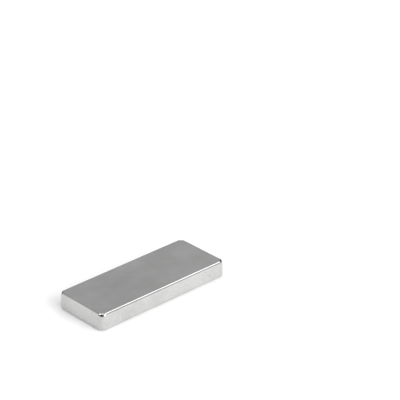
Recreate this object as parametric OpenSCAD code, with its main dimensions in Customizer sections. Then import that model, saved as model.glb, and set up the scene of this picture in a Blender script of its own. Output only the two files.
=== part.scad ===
// Block magnet: one sintered bar, tumbled until its edges are round and plated with nickel.
// It is magnetised through its thickness, so its two largest faces are its poles.
// The bar lies on one pole face. The origin is the middle of that face, +X runs
// along the bar, +Y across it and +Z up through its thickness.

/* [Block] */
// Length of the bar, over its plating
length = 45; // [20:0.5:100]
// Width of the bar, over its plating
width = 18; // [10:0.5:60]
// Thickness from pole face to pole face, over the plating
thickness = 5; // [3:0.1:20]

/* [Tumbled edges] */
// Radius of the four upright corners, seen from above
corner_radius = 1.5; // [1.2:0.1:4.5]
// Radius of the edges that run round both pole faces
edge_radius = 0.6; // [0.2:0.05:1]

/* [Hidden] */
$fn = 64;
nickel = [0.78, 0.77, 0.75];

// Straight stretches between the upright corners
side_run = length - 2 * corner_radius;
end_run = width - 2 * corner_radius;

// Half of the bar's section, from a corner's centre out to the face of the bar.
// X is outwards and Y is up. Its two outer corners carry the edge rounding.
module rim_section() {
    square([corner_radius - edge_radius, thickness]);
    translate([0, edge_radius])
        square([corner_radius, thickness - 2 * edge_radius]);
    for (rise = [edge_radius, thickness - edge_radius])
        translate([corner_radius - edge_radius, rise])
            circle(r = edge_radius);
}

// A straight stretch of the rim, of the given run, facing +X and centred on Y = 0
module straight_rim(run) {
    translate([0, run / 2, 0])
        rotate([90, 0, 0])
            linear_extrude(height = run)
                rim_section();
}

// A quarter turn of the rim, from +X round to +Y: an upright corner and the
// doubly curved vertices at its top and bottom
module corner_rim() {
    rotate_extrude(angle = 90)
        rim_section();
}

// The flat middle of the bar, inside all four rims
module core() {
    translate([-side_run / 2, -end_run / 2, 0])
        cube([side_run, end_run, thickness]);
}

module magnet_block() {
    color(nickel)
        union() {
            core();
            for (turn = [0, 180]) {
                rotate([0, 0, turn]) {
                    translate([side_run / 2, 0, 0])
                        straight_rim(end_run);
                    translate([0, end_run / 2, 0])
                        rotate([0, 0, 90])
                            straight_rim(side_run);
                    translate([side_run / 2, end_run / 2, 0])
                        corner_rim();
                    translate([-side_run / 2, end_run / 2, 0])
                        rotate([0, 0, 90])
                            corner_rim();
                }
            }
        }
}

magnet_block();
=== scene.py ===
# %% [markdown]
# A block magnet is one bar of sintered magnet alloy, a few centimetres long. After it is sawn and
# ground it tumbles in a drum of small stones, which takes the sharpness off its edges, and then
# it is plated with bright nickel. So there is little to model and much to get right: the true
# rounding of the edges and corners, a plating that is neither mirror nor matt, and a studio that
# gives the metal something to reflect.
#
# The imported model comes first. It holds the bar at its real size, in metres, lying on one of
# its two poles. Everything below takes its sizes and its place from there.

# %% Load the bar at its real size
import math

import bpy
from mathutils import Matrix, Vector


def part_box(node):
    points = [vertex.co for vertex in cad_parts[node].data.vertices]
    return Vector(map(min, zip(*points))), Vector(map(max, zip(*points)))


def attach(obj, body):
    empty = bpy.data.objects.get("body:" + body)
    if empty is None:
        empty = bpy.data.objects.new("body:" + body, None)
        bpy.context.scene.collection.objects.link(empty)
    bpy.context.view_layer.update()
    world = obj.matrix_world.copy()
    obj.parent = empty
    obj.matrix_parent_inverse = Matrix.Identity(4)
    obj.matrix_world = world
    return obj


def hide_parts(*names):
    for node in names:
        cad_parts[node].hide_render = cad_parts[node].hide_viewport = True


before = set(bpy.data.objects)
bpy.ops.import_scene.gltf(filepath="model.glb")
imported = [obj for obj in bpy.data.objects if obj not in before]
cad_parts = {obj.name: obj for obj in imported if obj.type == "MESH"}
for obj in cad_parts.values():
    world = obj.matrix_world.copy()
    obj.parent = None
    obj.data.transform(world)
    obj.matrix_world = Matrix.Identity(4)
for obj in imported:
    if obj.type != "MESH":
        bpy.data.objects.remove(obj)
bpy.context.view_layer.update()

MM = 0.001
bar_low, bar_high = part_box("magnet_block")
bar_size = bar_high - bar_low
print("bar, mm:", [round(side / MM, 2) for side in bar_size])

# %% [markdown]
# Nodes are wired in Python all through this script, and two small helpers keep that readable.
# Each one adds a node to a tree, plugs in what it is given, and returns the node's result. A
# plain number is typed into the socket and a socket is linked to it, so a formula reads almost
# as it would on paper. The same helpers work in Geometry Nodes and in shader nodes, because
# both kinds of tree share Blender's math nodes.

# %% Two helpers that wire nodes
def plug(tree, value, socket):
    """Links a socket, or types a plain value into it."""
    if isinstance(value, bpy.types.NodeSocket):
        tree.links.new(value, socket)
    else:
        socket.default_value = value


def calc(tree, operation, *values):
    """Adds a math node and returns its result."""
    node = tree.nodes.new("ShaderNodeMath")
    node.operation = operation
    for value, socket in zip(values, node.inputs):
        plug(tree, value, socket)
    return node.outputs[0]


def vector_calc(tree, operation, *values):
    """Adds a vector math node and returns its vector."""
    node = tree.nodes.new("ShaderNodeVectorMath")
    node.operation = operation
    for value, socket in zip(values, node.inputs):
        plug(tree, value, socket)
    return node.outputs["Vector"]


def stretch(tree, vector, factor):
    """Makes a vector so many times longer."""
    node = tree.nodes.new("ShaderNodeVectorMath")
    node.operation = "SCALE"
    plug(tree, vector, node.inputs["Vector"])
    plug(tree, factor, node.inputs["Scale"])
    return node.outputs["Vector"]


def add(tree, kind, **values):
    """Adds any other node. Underscores in a socket's name stand for its spaces."""
    node = tree.nodes.new(kind)
    for name, value in values.items():
        plug(tree, value, node.inputs[name.replace("_", " ")])
    return node


# %% [markdown]
# The bar's shape follows one rule, so Geometry Nodes make it. Its outline is the path of a
# wheel that turns a quarter at each upright corner and slides along each side. Its section is
# the same idea on edge: a small quarter round, a straight wall, and a quarter round again. A
# Bevel modifier could round a box too, but it gives one radius at a time, and a tumbled bar has
# three: large upright corners, fine edges round both poles, and edges that grow softer where
# they meet at a corner, because the stones strike there from every side.
#
# The tree starts from Blender's own cylinder, which is closed and has its points in neat rows
# and columns. Each point is then sent to its place on the bar: its angle says how far round the
# outline it lies, its height how far up the section, and its distance from the middle which
# ring of the flat face it is on. All of this is read from the untouched cylinder, so whatever
# the points are to remember is stored on them before they move. First come the named inputs.

# %% Name the inputs of the bar's rule
BAR_INPUTS = {
    "Length": ("NodeSocketFloat", bar_size.x),
    "Width": ("NodeSocketFloat", bar_size.y),
    "Thickness": ("NodeSocketFloat", bar_size.z),
    "Corner Radius": ("NodeSocketFloat", 1.6 * MM),
    "Edge Radius": ("NodeSocketFloat", 0.6 * MM),
    "Tip Radius": ("NodeSocketFloat", 0.85 * MM),
    "Corner Steps": ("NodeSocketInt", 16),
    "Side Steps": ("NodeSocketInt", 10),
    "Edge Steps": ("NodeSocketInt", 16),
    "Wall Rows": ("NodeSocketInt", 6),
    "Face Rings": ("NodeSocketInt", 8),
    "Plating": ("NodeSocketMaterial", None),
}

bar_tree = bpy.data.node_groups.new("tumbled_bar", "GeometryNodeTree")
bar_tree.interface.new_socket("Bar", in_out="OUTPUT", socket_type="NodeSocketGeometry")
for socket_name, (socket_type, _) in BAR_INPUTS.items():
    bar_tree.interface.new_socket(socket_name, in_out="INPUT", socket_type=socket_type)
sizes = bar_tree.nodes.new("NodeGroupInput").outputs
print("inputs of the rule:", [socket.name for socket in sizes if socket.name])

# %% Start from a cylinder with a column for each step round the outline
QUARTER = math.pi / 2

columns_a_side = calc(bar_tree, "ADD", sizes["Corner Steps"], sizes["Side Steps"])
columns = calc(bar_tree, "MULTIPLY", columns_a_side, 4)
rows = calc(bar_tree, "MULTIPLY_ADD", sizes["Edge Steps"], 2, sizes["Wall Rows"])
blank = add(
    bar_tree,
    "GeometryNodeMeshCylinder",
    Vertices=columns,
    Side_Segments=rows,
    Fill_Segments=sizes["Face Rings"],
    Radius=1.0,
    Depth=1.0,
)
blank.fill_type = "TRIANGLE_FAN"
point = bar_tree.nodes.new("GeometryNodeInputPosition").outputs[0]
across = add(bar_tree, "ShaderNodeSeparateXYZ", Vector=point).outputs

# %% Turn a quarter at each corner and slide along each side
angle_on_blank = calc(bar_tree, "ARCTAN2", across["Y"], across["X"])
turn_share = calc(bar_tree, "DIVIDE", angle_on_blank, math.tau)
column = calc(bar_tree, "ROUND", calc(bar_tree, "MULTIPLY", turn_share, columns))
column = calc(bar_tree, "FLOORED_MODULO", column, columns)
sides_passed = calc(bar_tree, "DIVIDE", calc(bar_tree, "ADD", column, 0.5), columns_a_side)
side = calc(bar_tree, "FLOOR", sides_passed)
step = calc(bar_tree, "SUBTRACT", column, calc(bar_tree, "MULTIPLY", side, columns_a_side))
turned = calc(bar_tree, "MINIMUM", calc(bar_tree, "DIVIDE", step, sizes["Corner Steps"]), 1.0)
past_corner = calc(bar_tree, "SUBTRACT", step, sizes["Corner Steps"])
slid = calc(bar_tree, "MAXIMUM", calc(bar_tree, "DIVIDE", past_corner, sizes["Side Steps"]), 0.0)
heading = calc(bar_tree, "MULTIPLY", calc(bar_tree, "ADD", side, turned), QUARTER)
outward = add(
    bar_tree,
    "ShaderNodeCombineXYZ",
    X=calc(bar_tree, "COSINE", heading),
    Y=calc(bar_tree, "SINE", heading),
).outputs[0]


def wheel_centre(tree, side_number):
    """Where the wheel's centre stands at the upright corner that ends on this side."""
    middle = calc(tree, "MULTIPLY", calc(tree, "ADD", side_number, 0.5), QUARTER)
    towards = add(
        tree,
        "ShaderNodeCombineXYZ",
        X=calc(tree, "COSINE", middle),
        Y=calc(tree, "SINE", middle),
    ).outputs[0]
    reach = add(
        tree,
        "ShaderNodeCombineXYZ",
        X=calc(tree, "SUBTRACT", calc(tree, "DIVIDE", sizes["Length"], 2), sizes["Corner Radius"]),
        Y=calc(tree, "SUBTRACT", calc(tree, "DIVIDE", sizes["Width"], 2), sizes["Corner Radius"]),
    ).outputs[0]
    return vector_calc(tree, "MULTIPLY", vector_calc(tree, "SIGN", towards), reach)


this_corner = wheel_centre(bar_tree, side)
next_corner = wheel_centre(bar_tree, calc(bar_tree, "ADD", side, 1))
travel = vector_calc(bar_tree, "SUBTRACT", next_corner, this_corner)
centre = vector_calc(bar_tree, "ADD", this_corner, stretch(bar_tree, travel, slid))

# %% [markdown]
# The section comes next. The edge radius isn't the same everywhere: it swells from its plain
# value on the sides to the tip's value in the middle of each upright corner. The square of a
# sine does that smoothly, as it starts and ends with no slope, so no reflection breaks there.

# %% Climb the rounded edge, the wall and the rounded edge again
rise_share = calc(bar_tree, "ADD", across["Z"], 0.5)
row = calc(bar_tree, "ROUND", calc(bar_tree, "MULTIPLY", rise_share, rows))
lower = calc(bar_tree, "MINIMUM", calc(bar_tree, "DIVIDE", row, sizes["Edge Steps"]), 1.0)
past_lower = calc(bar_tree, "SUBTRACT", row, sizes["Edge Steps"])
past_wall = calc(bar_tree, "SUBTRACT", past_lower, sizes["Wall Rows"])
upper = calc(bar_tree, "MAXIMUM", calc(bar_tree, "DIVIDE", past_wall, sizes["Edge Steps"]), 0.0)
climbed = calc(bar_tree, "SUBTRACT", calc(bar_tree, "ADD", lower, upper), 1.0)
tilt = calc(bar_tree, "MULTIPLY", climbed, QUARTER)
wall = calc(bar_tree, "DIVIDE", past_lower, sizes["Wall Rows"])
wall = calc(bar_tree, "MINIMUM", calc(bar_tree, "MAXIMUM", wall, 0.0), 1.0)

wave = calc(bar_tree, "SINE", calc(bar_tree, "MULTIPLY", heading, 2))
corner_swell = calc(bar_tree, "MULTIPLY", wave, wave)
extra = calc(bar_tree, "SUBTRACT", sizes["Tip Radius"], sizes["Edge Radius"])
edge = calc(bar_tree, "MULTIPLY_ADD", extra, corner_swell, sizes["Edge Radius"])
leaned_in = calc(bar_tree, "SUBTRACT", 1.0, calc(bar_tree, "COSINE", tilt))
inset = calc(bar_tree, "MULTIPLY", edge, leaned_in)
reach = calc(bar_tree, "SUBTRACT", sizes["Corner Radius"], inset)
wall_height = calc(bar_tree, "SUBTRACT", sizes["Thickness"], calc(bar_tree, "MULTIPLY", edge, 2))
height = calc(bar_tree, "MULTIPLY_ADD", wall_height, wall, edge)
height = calc(bar_tree, "MULTIPLY_ADD", edge, calc(bar_tree, "SINE", tilt), height)

# %% Gather the rings of the two flat faces towards their rims
flat = add(bar_tree, "ShaderNodeCombineXYZ", X=across["X"], Y=across["Y"]).outputs[0]
from_middle = bar_tree.nodes.new("ShaderNodeVectorMath")
from_middle.operation = "LENGTH"
plug(bar_tree, flat, from_middle.inputs[0])
to_middle = calc(bar_tree, "MINIMUM", from_middle.outputs["Value"], 1.0)
from_rim = calc(bar_tree, "SUBTRACT", 1.0, to_middle)
ring = calc(bar_tree, "SUBTRACT", 1.0, calc(bar_tree, "MULTIPLY", from_rim, from_rim))

# %% Mark how rounded the bar is at every point, then send the points to their places
ROUNDING = "rounding"
WALL = "wall"
FALL_OFF = 8.0


def mark(tree, geometry, name, value):
    """Stores a number on every point, under a name that the material can read."""
    node = add(tree, "GeometryNodeStoreNamedAttribute", Geometry=geometry, Name=name)
    node.data_type = "FLOAT"
    node.domain = "POINT"
    plug(tree, value, node.inputs["Value"])
    return node.outputs["Geometry"]


def nearness(tree, share):
    """1 where the share is 1 or -1, and hardly anything once it is a little less."""
    return calc(tree, "POWER", calc(tree, "MULTIPLY", share, share), FALL_OFF)


on_wall = nearness(bar_tree, calc(bar_tree, "COSINE", tilt))
on_face = nearness(bar_tree, calc(bar_tree, "SINE", tilt))
rounding = calc(bar_tree, "SUBTRACT", calc(bar_tree, "SUBTRACT", 1.0, on_wall), on_face)
marked = mark(bar_tree, blank.outputs["Mesh"], ROUNDING, rounding)
marked = mark(bar_tree, marked, WALL, on_wall)

on_outline = vector_calc(bar_tree, "ADD", centre, stretch(bar_tree, outward, reach))
lifted = add(bar_tree, "ShaderNodeCombineXYZ", Z=height).outputs[0]
place = vector_calc(bar_tree, "ADD", stretch(bar_tree, on_outline, ring), lifted)
placed = add(bar_tree, "GeometryNodeSetPosition", Geometry=marked, Position=place)
smooth = add(bar_tree, "GeometryNodeSetShadeSmooth", Geometry=placed.outputs["Geometry"])
real = add(bar_tree, "GeometryNodeRealizeInstances", Geometry=smooth.outputs["Geometry"])
plated = add(
    bar_tree,
    "GeometryNodeSetMaterial",
    Geometry=real.outputs["Geometry"],
    Material=sizes["Plating"],
)
bar_output = bar_tree.nodes.new("NodeGroupOutput")
plug(bar_tree, plated.outputs["Geometry"], bar_output.inputs["Bar"])
print("nodes in the rule:", len(bar_tree.nodes))

# %% [markdown]
# Bright nickel on a ground and tumbled bar has four things to tell the eye. The plating takes on
# the faint swell of the surface beneath, like the skin of an orange, so reflections shimmer. The
# two poles were ground and are satin, while the side walls keep a duller and grainier skin. The
# edges, where the stones rub most, are polished. And a magnet that has snapped against others
# carries a few fine hairlines.
#
# The swell and the hairlines are node groups, because each is used more than once with values of
# its own: the swell at four sizes, from the grain of the walls to clouds half as wide as the bar,
# and the hairlines in two directions.

# %% A node group for an uneven skin
def new_group(name, inputs, outputs):
    """An empty shader group with named float or vector sockets, and its two end nodes."""
    group = bpy.data.node_groups.new(name, "ShaderNodeTree")
    for socket_name, socket_type, value in inputs:
        socket = group.interface.new_socket(socket_name, in_out="INPUT", socket_type=socket_type)
        if value is not None:
            socket.default_value = value
    for socket_name, socket_type in outputs:
        group.interface.new_socket(socket_name, in_out="OUTPUT", socket_type=socket_type)
    group_in = group.nodes.new("NodeGroupInput").outputs
    group_out = group.nodes.new("NodeGroupOutput").inputs
    return group, group_in, group_out


skin_group, skin_in, skin_out = new_group(
    "uneven_skin",
    [
        ("Place", "NodeSocketVector", None),
        ("Size", "NodeSocketFloat", 1 * MM),
        ("Detail", "NodeSocketFloat", 2.0),
    ],
    [("Height", "NodeSocketFloat")],
)
noise = add(
    skin_group,
    "ShaderNodeTexNoise",
    Vector=skin_in["Place"],
    Scale=calc(skin_group, "DIVIDE", 1.0, skin_in["Size"]),
    Detail=skin_in["Detail"],
    Roughness=0.5,
)
plug(skin_group, calc(skin_group, "SUBTRACT", noise.outputs["Fac"], 0.5), skin_out["Height"])

# %% A node group for hairlines
HAIRLINE_STRETCH = 40
HAIRLINE_BREADTH = 0.02
HAIRLINE_PATCH = 4 * MM

line_group, line_in, line_out = new_group(
    "hairlines",
    [
        ("Place", "NodeSocketVector", None),
        ("Turn", "NodeSocketFloat", 0.0),
        ("Width", "NodeSocketFloat", 0.05 * MM),
        ("Share", "NodeSocketFloat", 0.1),
    ],
    [("Mask", "NodeSocketFloat")],
)
turned_place = add(
    line_group,
    "ShaderNodeVectorRotate",
    Vector=line_in["Place"],
    Angle=line_in["Turn"],
).outputs[0]
squeezed = vector_calc(line_group, "MULTIPLY", turned_place, (1 / HAIRLINE_STRETCH, 1.0, 1.0))
line_noise = add(
    line_group,
    "ShaderNodeTexNoise",
    Vector=squeezed,
    Scale=calc(line_group, "DIVIDE", 1.0, line_in["Width"]),
    Detail=1.0,
)
ridge = calc(line_group, "ABSOLUTE", calc(line_group, "SUBTRACT", line_noise.outputs["Fac"], 0.5))
thin = add(line_group, "ShaderNodeMapRange", Value=ridge, To_Min=1.0, To_Max=0.0)
plug(line_group, 0.0, thin.inputs["From Min"])
plug(line_group, HAIRLINE_BREADTH, thin.inputs["From Max"])
where = add(
    line_group,
    "ShaderNodeTexNoise",
    Vector=line_in["Place"],
    Scale=1 / HAIRLINE_PATCH,
    Detail=1.0,
)
allowed = add(line_group, "ShaderNodeMapRange", Value=where.outputs["Fac"], To_Min=0.0, To_Max=1.0)
plug(line_group, calc(line_group, "SUBTRACT", 1.0, line_in["Share"]), allowed.inputs["From Min"])
plug(line_group, 1.0, allowed.inputs["From Max"])
plug(line_group, calc(line_group, "MULTIPLY", thin.outputs[0], allowed.outputs[0]), line_out["Mask"])

# %% [markdown]
# The plating itself is one Principled shader. Nickel reflects about two thirds of the light, a
# touch more of the red than of the blue, and the colour wanders a little between a worn and a
# fresh grey. Roughness sets how satin it is: the mark that the rule left on the walls adds to it,
# and the mark on the rounded edges takes it off. The swell goes through a Bump node, and its
# heights are about a thousandth of a millimetre, as they are on the real plating.

# %% The bright nickel plating
nickel = bpy.data.materials.new("nickel_plating")
nickel.use_nodes = True
plating = nickel.node_tree
shader = plating.nodes["Principled BSDF"]
shader.inputs["Metallic"].default_value = 1.0

place_on_bar = plating.nodes.new("ShaderNodeTexCoord").outputs["Object"]


def use_group(tree, group, **values):
    """Places a node group in a tree and gives it its values."""
    node = tree.nodes.new("ShaderNodeGroup")
    node.node_tree = group
    for name, value in values.items():
        plug(tree, value, node.inputs[name.replace("_", " ")])
    return node.outputs


def stored(tree, name):
    """Reads a number that the bar's rule stored on its points."""
    node = tree.nodes.new("ShaderNodeAttribute")
    node.attribute_name = name
    return node.outputs["Fac"]


peel = use_group(plating, skin_group, Place=place_on_bar, Size=1.1 * MM, Detail=1.0)["Height"]
grain = use_group(plating, skin_group, Place=place_on_bar, Size=0.22 * MM, Detail=3.0)["Height"]
clouds = use_group(plating, skin_group, Place=place_on_bar, Size=9 * MM, Detail=3.0)["Height"]
mottle = use_group(plating, skin_group, Place=place_on_bar, Size=0.35 * MM, Detail=2.0)["Height"]
lines_one = use_group(
    plating, line_group, Place=place_on_bar, Turn=0.5, Width=0.12 * MM, Share=0.55
)["Mask"]
lines_two = use_group(
    plating, line_group, Place=place_on_bar, Turn=2.2, Width=0.1 * MM, Share=0.5
)["Mask"]
hairs = calc(plating, "MAXIMUM", lines_one, lines_two)
polished = stored(plating, ROUNDING)
side_wall = stored(plating, WALL)

# Roughness of the poles, and what each kind of mark adds to it
SATIN = 0.20
POLISH = -0.13
WALL_DULLNESS = 0.30
CLOUD_DULLNESS = 0.08
GRAIN_DULLNESS = 0.05
HAIR_DULLNESS = 0.10
rough = calc(plating, "MULTIPLY_ADD", clouds, CLOUD_DULLNESS, SATIN)
rough = calc(plating, "MULTIPLY_ADD", grain, GRAIN_DULLNESS, rough)
rough = calc(plating, "MULTIPLY_ADD", polished, POLISH, rough)
rough = calc(plating, "MULTIPLY_ADD", side_wall, WALL_DULLNESS, rough)
rough = calc(plating, "MULTIPLY_ADD", hairs, HAIR_DULLNESS, rough)
plug(plating, rough, shader.inputs["Roughness"])

# The two greys, and how strongly each kind of mark moves the colour between them
WORN_NICKEL = (0.59, 0.588, 0.585, 1)
FRESH_NICKEL = (0.69, 0.688, 0.685, 1)
HALFWAY = 0.5
CLOUD_TINT = 2.4
MOTTLE_TINT = 3.4
wall_mottle = calc(plating, "MULTIPLY", mottle, side_wall)
freshness = calc(plating, "MULTIPLY_ADD", clouds, CLOUD_TINT, HALFWAY)
freshness = calc(plating, "MULTIPLY_ADD", wall_mottle, MOTTLE_TINT, freshness)
colour = add(plating, "ShaderNodeMix", Factor=freshness)
colour.data_type = "RGBA"
ends = [socket for socket in colour.inputs if socket.type == "RGBA"]
plug(plating, WORN_NICKEL, ends[0])
plug(plating, FRESH_NICKEL, ends[1])
mixed = [socket for socket in colour.outputs if socket.type == "RGBA"][0]
plug(plating, mixed, shader.inputs["Base Color"])

# Heights in thousandths of a millimetre
MICRON = 0.001 * MM
PEEL_RISE = 4.0
GRAIN_RISE = 1.0
HAIR_RISE = -0.4
rise = calc(plating, "MULTIPLY", peel, PEEL_RISE)
rise = calc(plating, "MULTIPLY_ADD", grain, GRAIN_RISE, rise)
rise = calc(plating, "MULTIPLY_ADD", hairs, HAIR_RISE, rise)
bump = add(plating, "ShaderNodeBump", Strength=1.0, Distance=MICRON, Height=rise)
plug(plating, bump.outputs["Normal"], shader.inputs["Normal"])

# %% Make the bar and hand it to the frame
carrier = bpy.data.objects.new("bar_rule", bpy.data.meshes.new("bar_rule"))
bpy.context.scene.collection.objects.link(carrier)
modifier = carrier.modifiers.new("rule", "NODES")
modifier.node_group = bar_tree
for item in bar_tree.interface.items_tree:
    if item.in_out == "INPUT":
        value = nickel if item.name == "Plating" else BAR_INPUTS[item.name][1]
        modifier[item.identifier] = value
evaluated = carrier.evaluated_get(bpy.context.evaluated_depsgraph_get())
bar_mesh = bpy.data.meshes.new_from_object(evaluated)
bar_mesh.name = "nickel_bar"
carrier.modifiers.remove(modifier)
bpy.data.objects.remove(carrier)
nickel_bar = bpy.data.objects.new("nickel_bar", bar_mesh)
bpy.context.scene.collection.objects.link(nickel_bar)
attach(nickel_bar, "root")
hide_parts("magnet_block")
print("bar mesh:", len(bar_mesh.vertices), "points,", len(bar_mesh.polygons), "faces")

# %% [markdown]
# The floor is a sheet of white studio paper. Its colour is nearly white, and a little glow that
# only the camera and reflections see lifts it to full white, while the bar's shadow still falls
# on it.

# %% The white paper floor
PAPER_REACH = 4.0
PAPER_WHITE = (0.93, 0.93, 0.93, 1)
PAPER_GLOW = 0.14

paper = bpy.data.materials.new("white_paper")
paper.use_nodes = True
sheet = paper.node_tree
sheet.nodes.clear()
diffuse = add(sheet, "ShaderNodeBsdfDiffuse", Color=PAPER_WHITE)
seen = sheet.nodes.new("ShaderNodeLightPath").outputs
seen_directly = calc(sheet, "MAXIMUM", seen["Is Camera Ray"], seen["Is Glossy Ray"])
seen_directly = calc(sheet, "MAXIMUM", seen_directly, seen["Is Transmission Ray"])
glow = add(sheet, "ShaderNodeEmission", Strength=calc(sheet, "MULTIPLY", seen_directly, PAPER_GLOW))
both = sheet.nodes.new("ShaderNodeAddShader")
plug(sheet, diffuse.outputs[0], both.inputs[0])
plug(sheet, glow.outputs[0], both.inputs[1])
paper_end = add(sheet, "ShaderNodeOutputMaterial", Surface=both.outputs[0])

floor_mesh = bpy.data.meshes.new("paper_floor")
paper_corners = [(-1, -1), (1, -1), (1, 1), (-1, 1)]
corners = [(x * PAPER_REACH, y * PAPER_REACH, 0) for x, y in paper_corners]
floor_mesh.from_pydata(corners, [], [(0, 1, 2, 3)])
floor_mesh.materials.append(paper)
paper_floor = bpy.data.objects.new("paper_floor", floor_mesh)
bpy.context.scene.collection.objects.link(paper_floor)

# %% [markdown]
# Metal shows its surroundings, so the studio is what colours the bar. The world is a dome that is
# white at the horizon and grey higher up, and that grey is what the upper pole shows. A flat
# pole or wall shows one small part of the dome, but a rounded edge sweeps across half of it, so
# a few soft lights and black cards are what make the edges and corners read.
#
# The first light draws the bright line along the front edge, and the second puts a spark on the
# near corner. The next three fill the paper in front, which the long wall mirrors, and the last
# three lift the edge above the short wall. Most of the cards stand round the camera, behind the
# bar and at its ends, and the tips of the bar show them as dark spots. The last one is thin and
# only takes the shine off the upper pole. A Light object would do the same for one lamp at a
# time, but a dome keeps them all in one place. The band round the horizon stays white, because a
# low view looks straight at it.

# %% The studio dome
# Degrees above the horizon, and how bright the dome is there
DOME = [
    (0, 1.0), (5, 0.92), (12, 0.64), (20, 0.485), (33, 0.465), (40, 0.50), (55, 0.45), (90, 0.36),
]
# Direction, half angle and soft rim in degrees, and what the light adds
SOFT_LIGHTS = [
    ((0.60, 0.19, 0.777), 13, 3, 2.4),
    ((0.09, 0.34, 0.94), 6, 2, 8.0),
    ((0.14, -0.60, 0.79), 20, 4, 2.2),
    ((0.60, -0.70, 0.38), 20, 8, 0.22),
    ((0.10, -0.88, 0.46), 20, 5, 2.8),
    ((-0.58, 0.66, 0.47), 14, 7, 0.38),
    ((-0.50, 0.15, 0.85), 13, 3, 2.4),
    ((-0.64, -0.20, 0.74), 7, 3, 0.40),
]
# Direction, half angle and soft rim in degrees, and the share that the card hides
BLACK_CARDS = [
    ((-0.607, -0.652, 0.456), 15, 2, 1.0),
    ((-0.607, -0.652, 0.18), 13, 2, 1.0),
    ((-0.50, -0.54, 0.68), 15, 2, 1.0),
    ((-0.43, -0.42, 0.80), 12, 2, 1.0),
    ((0.93, 0.22, 0.28), 27, 4, 1.0),
    ((0.15, 0.96, 0.22), 20, 4, 1.0),
    ((-0.95, -0.12, 0.28), 36, 12, 1.0),
    ((0.30, 0.65, 0.70), 10, 5, 0.35),
]
# Degrees above the horizon up to which the band is white, and where it ends
WHITE_BAND = (3.6, 5.6)

world = bpy.data.worlds.new("studio")
bpy.context.scene.world = world
world.use_nodes = True
dome = world.node_tree
dome.nodes.clear()
direction = dome.nodes.new("ShaderNodeTexCoord").outputs["Generated"]
up = add(dome, "ShaderNodeSeparateXYZ", Vector=direction).outputs["Z"]
elevation = calc(dome, "DIVIDE", calc(dome, "ARCSINE", up), QUARTER)
ramp = add(dome, "ShaderNodeValToRGB", Fac=elevation)
stops = ramp.color_ramp.elements
for index, (degrees, level) in enumerate(DOME):
    stop = stops[index] if index < 2 else stops.new(degrees / 90)
    stop.position = degrees / 90
    stop.color = (level, level, level, 1)


def patch(tree, toward, half_angle, softness, level):
    """A round patch of the dome: the level inside it, 0 outside, and a soft rim between."""
    dot = tree.nodes.new("ShaderNodeVectorMath")
    dot.operation = "DOT_PRODUCT"
    plug(tree, direction, dot.inputs[0])
    plug(tree, Vector(toward).normalized(), dot.inputs[1])
    rim = add(tree, "ShaderNodeMapRange", Value=dot.outputs["Value"], To_Max=level)
    rim.interpolation_type = "SMOOTHSTEP"
    plug(tree, math.cos(math.radians(half_angle + softness)), rim.inputs["From Min"])
    plug(tree, math.cos(math.radians(half_angle - softness)), rim.inputs["From Max"])
    return rim.outputs[0]


light = ramp.outputs["Color"]
for toward, half_angle, softness, level in SOFT_LIGHTS:
    light = calc(dome, "ADD", light, patch(dome, toward, half_angle, softness, level))
for toward, half_angle, softness, share in BLACK_CARDS:
    open_part = calc(dome, "SUBTRACT", 1.0, patch(dome, toward, half_angle, softness, share))
    light = calc(dome, "MULTIPLY", light, open_part)
band_low, band_high = (degrees / 90 for degrees in WHITE_BAND)
band = add(dome, "ShaderNodeMapRange", Value=elevation, To_Min=1.0, To_Max=0.0)
band.interpolation_type = "SMOOTHSTEP"
plug(dome, band_low, band.inputs["From Min"])
plug(dome, band_high, band.inputs["From Max"])
light = calc(dome, "MAXIMUM", light, band.outputs[0])
backdrop = add(dome, "ShaderNodeBackground", Color=light, Strength=1.0)
world_end = add(dome, "ShaderNodeOutputWorld", Surface=backdrop.outputs[0])

# %% [markdown]
# The photograph was taken with a long lens from a little over half a metre, so the bar's edges
# draw together only slightly. The camera looks down at 27 degrees, from the left of the long
# wall. It isn't aimed at the bar: it stands where the middle of the bar lands low and left in
# the picture, as in the photograph. The focal length is given in pixels, as a fit gives it, and is
# turned into millimetres for Blender's sensor.

# %% The camera
PICTURE = 400
SENSOR_WIDTH = 36
AZIMUTH = math.radians(-42.93)
ELEVATION = math.radians(27.14)
DISTANCE = 0.5558
FOCAL_PIXELS = 2025
MIDDLE_X = 142.97
MIDDLE_Y = 283.66

back = Vector((
    math.sin(AZIMUTH) * math.cos(ELEVATION),
    -math.cos(AZIMUTH) * math.cos(ELEVATION),
    math.sin(ELEVATION),
))
right = Vector((math.cos(AZIMUTH), math.sin(AZIMUTH), 0))
above = back.cross(right)
half = PICTURE / 2
shift_right = (MIDDLE_X - half) / FOCAL_PIXELS
shift_down = (MIDDLE_Y - half) / FOCAL_PIXELS
sight = right * shift_right - above * shift_down - back
middle = (bar_low + bar_high) / 2

camera_data = bpy.data.cameras.new("camera")
camera_data.sensor_width = SENSOR_WIDTH
camera_data.lens = SENSOR_WIDTH * FOCAL_PIXELS / PICTURE
camera = bpy.data.objects.new("camera", camera_data)
bpy.context.scene.collection.objects.link(camera)
camera.location = middle - sight * DISTANCE
camera.rotation_euler = back.to_track_quat("Z", "Y").to_euler()
bpy.context.scene.camera = camera

# %% Finish
bpy.context.scene.view_settings.view_transform = "Standard"
